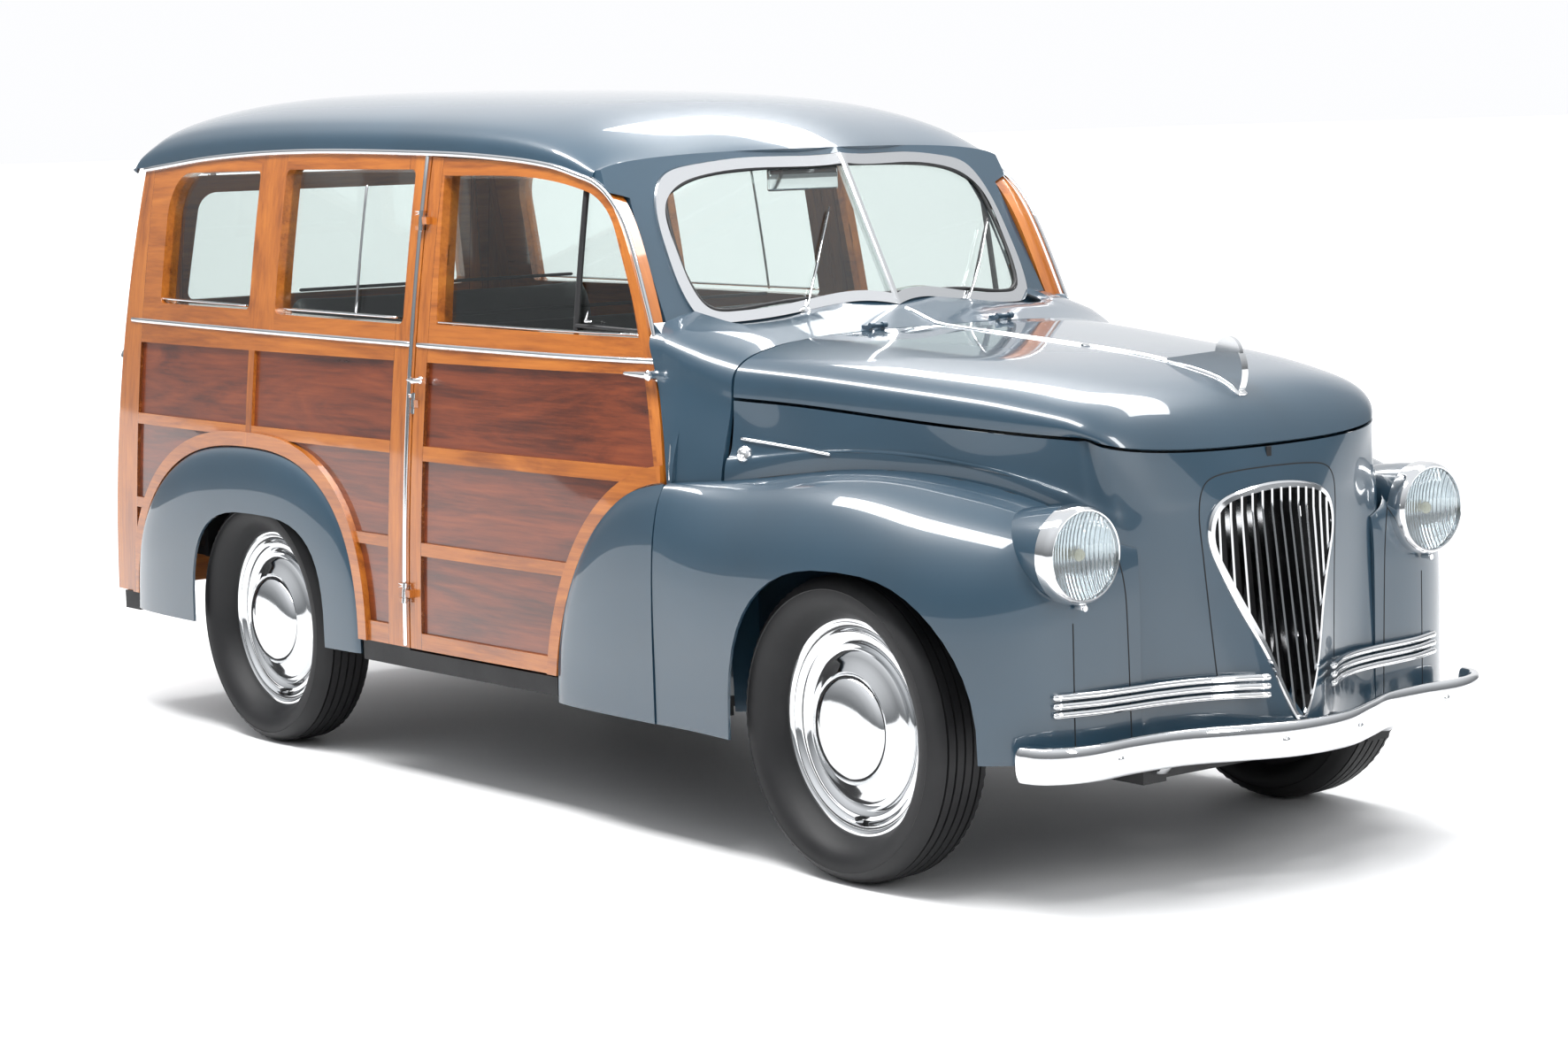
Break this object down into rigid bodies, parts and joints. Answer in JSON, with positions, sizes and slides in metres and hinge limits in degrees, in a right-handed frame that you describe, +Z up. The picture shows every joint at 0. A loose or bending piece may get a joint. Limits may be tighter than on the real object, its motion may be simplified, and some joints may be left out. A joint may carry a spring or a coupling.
{
  "type": "station wagon",
  "caption": "Two-door wood-bodied station wagon with rounded fenders, split windshield, drop tailgate and lift-up rear window.",
  "frame": {"origin": "on the floor, under the middle of the car's length and width", "axes": "+X forward along the car, +Y to the car's left, +Z up"},
  "size_m": [4.01, 1.5056, 1.699],
  "materials": {
    "chassis_paint": "satin",
    "floor_paint": "satin",
    "dash_paint": "gloss",
    "engine_paint": "satin",
    "radiator_black": "matte",
    "frame_wood": "varnished",
    "panel_wood": "varnished",
    "window_glass": "clear",
    "body_paint": "gloss",
    "bright_trim": "polished",
    "wheel_chrome": "polished",
    "tyre_rubber": "matte",
    "lamp_glass": "fluted",
    "red_lens": "gloss",
    "seat_leather": "soft",
    "steering_plastic": "gloss"
  },
  "bodies": {
    "body": {"bulkhead": "dash_paint", "chassis_frame": "chassis_paint", "cowl": "body_paint", "engine_block": "engine_paint", "floor_pan": "floor_paint", "front_axle": "chassis_paint", "front_bumper": "bright_trim", "front_fenders": "body_paint", "front_seat": "seat_leather", "grille": "bright_trim", "headlamp_lenses": "lamp_glass", "headlamp_rims": "bright_trim", "leaf_springs": "chassis_paint", "load_floor": "floor_paint", "nose_bars": "bright_trim", "nose_panel": "body_paint", "quarter_left": "frame_wood", "quarter_panels": "panel_wood", "quarter_right": "frame_wood", "radiator": "radiator_black", "rear_axle": "chassis_paint", "rear_fenders": "body_paint", "rear_frame": "frame_wood", "rear_seat": "seat_leather", "roof": "body_paint", "side_glass": "window_glass", "sills": "floor_paint", "tail_lamps": "red_lens", "tunnel": "floor_paint", "wheel_houses": "floor_paint", "windshield_frame": "bright_trim", "windshield_glass": "window_glass"},
    "door_right": {"door_frame_right": "frame_wood", "door_panels_right": "panel_wood", "door_skirt_right": "body_paint", "door_glass_right": "window_glass"},
    "knuckle_right": {"knuckle_right": "chassis_paint"},
    "wheel_front_right": {"tyre_front_right": "tyre_rubber", "wheel_front_right": "wheel_chrome"},
    "wheel_rear_right": {"tyre_rear_right": "tyre_rubber", "wheel_rear_right": "wheel_chrome"},
    "door_left": {"door_frame_left": "frame_wood", "door_panels_left": "panel_wood", "door_skirt_left": "body_paint", "door_glass_left": "window_glass"},
    "knuckle_left": {"knuckle_left": "chassis_paint"},
    "wheel_front_left": {"tyre_front_left": "tyre_rubber", "wheel_front_left": "wheel_chrome"},
    "wheel_rear_left": {"tyre_rear_left": "tyre_rubber", "wheel_rear_left": "wheel_chrome"},
    "hood": {"hood": "body_paint", "hood_ornament": "bright_trim"},
    "tailgate": {"tailgate": "frame_wood", "tailgate_panels": "panel_wood"},
    "hatch": {"hatch": "frame_wood", "hatch_glass": "window_glass"},
    "steering_wheel": {"steering_wheel": "steering_plastic"}
  },
  "joints": [
    {"name": "door_right_hinge", "type": "hinge", "parent": "body", "child": "door_right", "pos_m": [-0.347, -0.696, 0.935], "axis": [0, -0.1022, -0.9948], "range_deg": [0, 70]},
    {"name": "door_left_hinge", "type": "hinge", "parent": "body", "child": "door_left", "pos_m": [-0.347, 0.696, 0.935], "axis": [0, -0.1022, 0.9948], "range_deg": [0, 70]},
    {"name": "hood_hinge", "type": "hinge", "parent": "body", "child": "hood", "pos_m": [0.824, 0, 1.127], "axis": [0, -1, 0], "range_deg": [0, 50]},
    {"name": "tailgate_hinge", "type": "hinge", "parent": "body", "child": "tailgate", "pos_m": [-1.998, 0, 0.462], "axis": [0, -1, 0], "range_deg": [0, 90]},
    {"name": "hatch_hinge", "type": "hinge", "parent": "body", "child": "hatch", "pos_m": [-1.934, 0, 1.5], "axis": [0, 1, 0], "range_deg": [0, 85]},
    {"name": "steering_wheel_turn", "type": "hinge", "parent": "body", "child": "steering_wheel", "pos_m": [0.215, 0.335, 1.01], "axis": [-0.8, 0, 0.6], "range_deg": [-420, 420]},
    {"name": "steer_right", "type": "hinge", "parent": "body", "child": "knuckle_right", "pos_m": [1.27, -0.545, 0.325], "axis": [0, 0, 1], "range_deg": [-28, 28]},
    {"name": "steer_left", "type": "hinge", "parent": "body", "child": "knuckle_left", "pos_m": [1.27, 0.545, 0.325], "axis": [0, 0, 1], "range_deg": [-28, 28]},
    {"name": "wheel_front_right_spin", "type": "hinge", "parent": "knuckle_right", "child": "wheel_front_right", "pos_m": [1.27, -0.625, 0.325], "axis": [0, 1, 0], "continuous": true},
    {"name": "wheel_rear_right_spin", "type": "hinge", "parent": "body", "child": "wheel_rear_right", "pos_m": [-1.15, -0.625, 0.325], "axis": [0, 1, 0], "continuous": true},
    {"name": "wheel_front_left_spin", "type": "hinge", "parent": "knuckle_left", "child": "wheel_front_left", "pos_m": [1.27, 0.625, 0.325], "axis": [0, 1, 0], "continuous": true},
    {"name": "wheel_rear_left_spin", "type": "hinge", "parent": "body", "child": "wheel_rear_left", "pos_m": [-1.15, 0.625, 0.325], "axis": [0, 1, 0], "continuous": true}
  ],
  "couplings": [
    {"joint": "steer_left", "follows": "steer_right", "ratio": 1},
    {"joint": "steering_wheel_turn", "follows": "steer_right", "ratio": 15}
  ]
}
